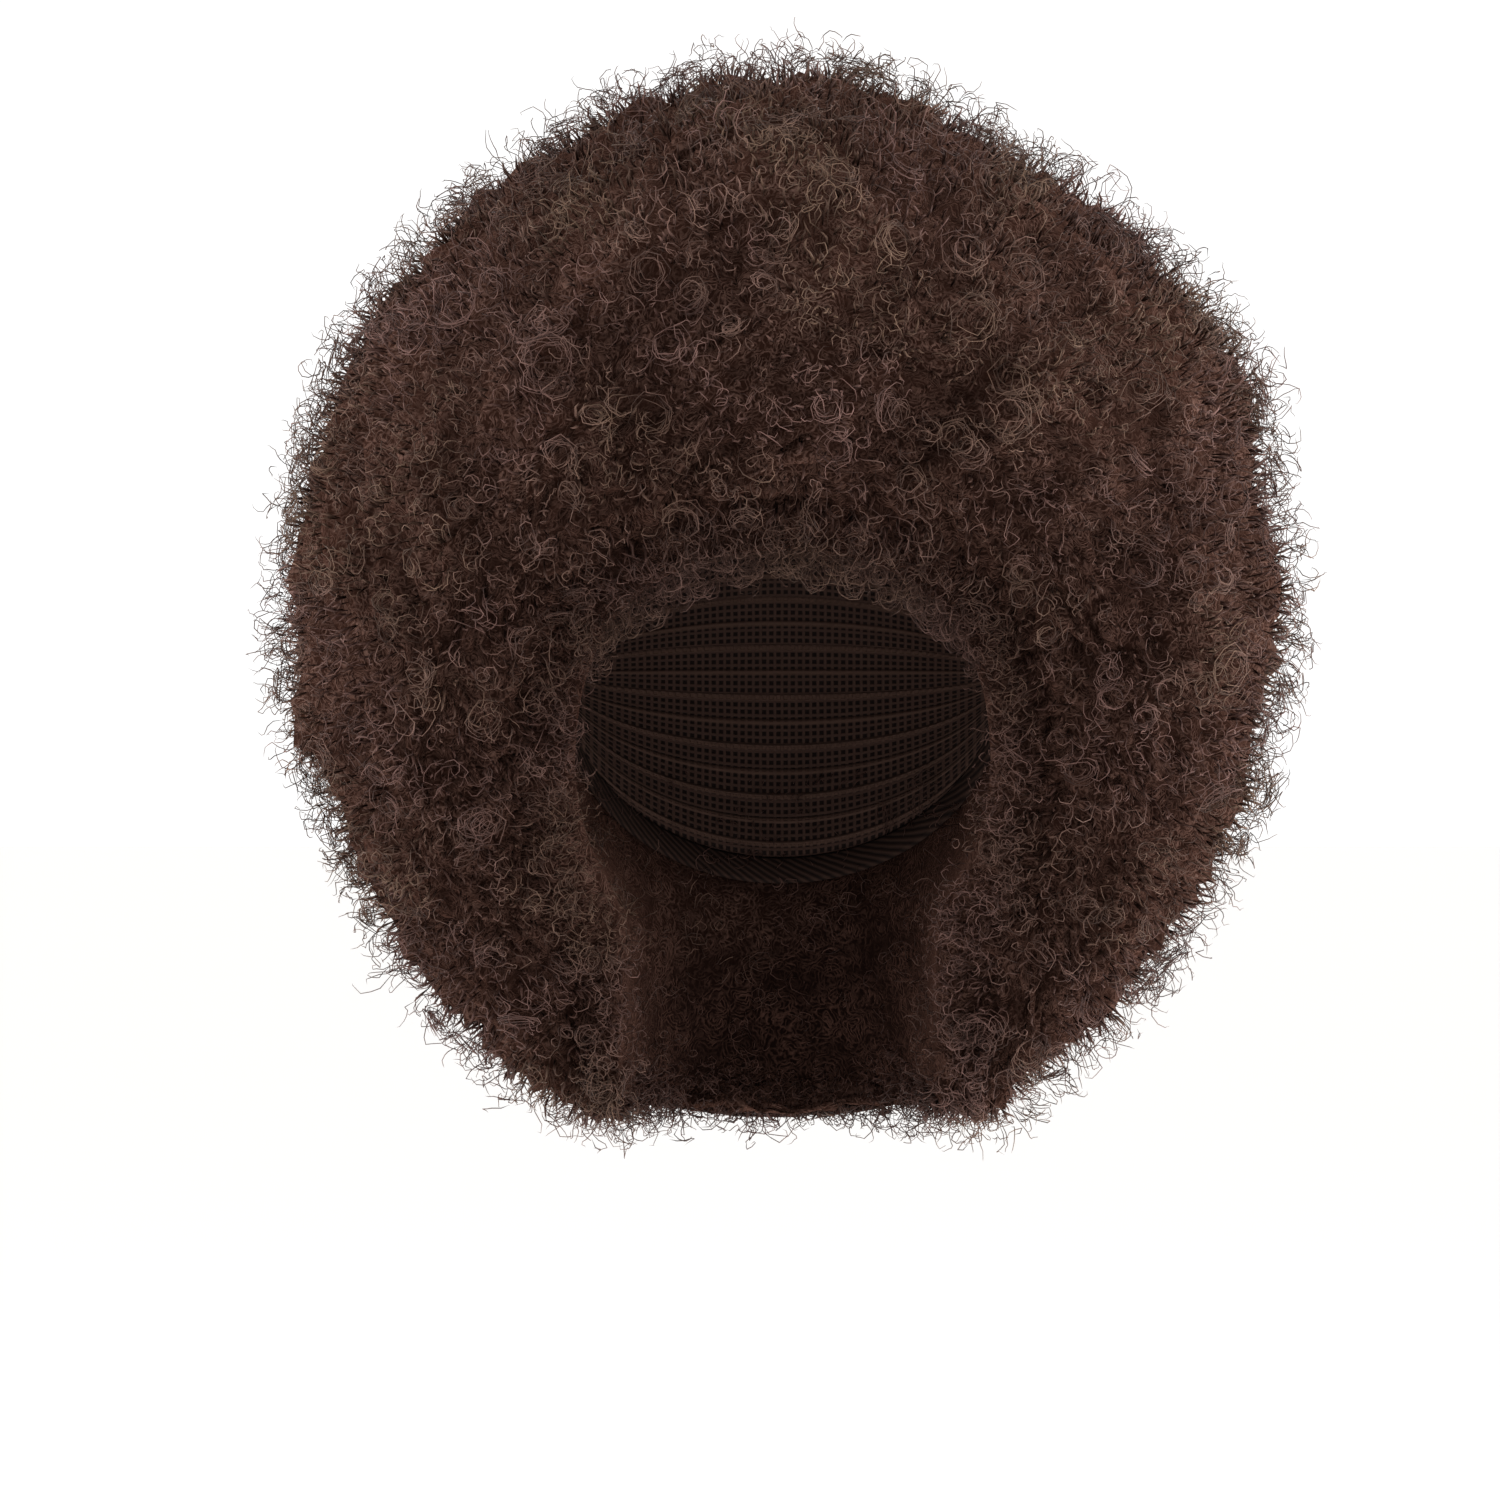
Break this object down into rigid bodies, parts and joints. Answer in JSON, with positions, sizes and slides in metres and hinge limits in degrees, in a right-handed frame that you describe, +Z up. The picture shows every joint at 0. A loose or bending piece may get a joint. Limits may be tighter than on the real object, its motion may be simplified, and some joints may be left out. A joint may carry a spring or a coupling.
{
  "type": "afro wig",
  "caption": "Full round afro wig of tight dark brown curls on an open stretch-net cap with an elastic edge band and a sparse front hairline.",
  "frame": {"origin": "the point inside the crown of the cap where the top of the head sits", "axes": "+Z up, -Y out of the face opening, +X to the right seen from the front"},
  "size_m": [0.3603, 0.3372, 0.3827],
  "materials": {
    "cap_net": "matte",
    "elastic_band": "matte",
    "curl_fibre": "matte",
    "fine_fibre": "matte"
  },
  "bodies": {
    "root": {"cap": "cap_net", "cap_band": "elastic_band", "hair": "curl_fibre", "front_hairline": "fine_fibre"}
  },
  "joints": []
}
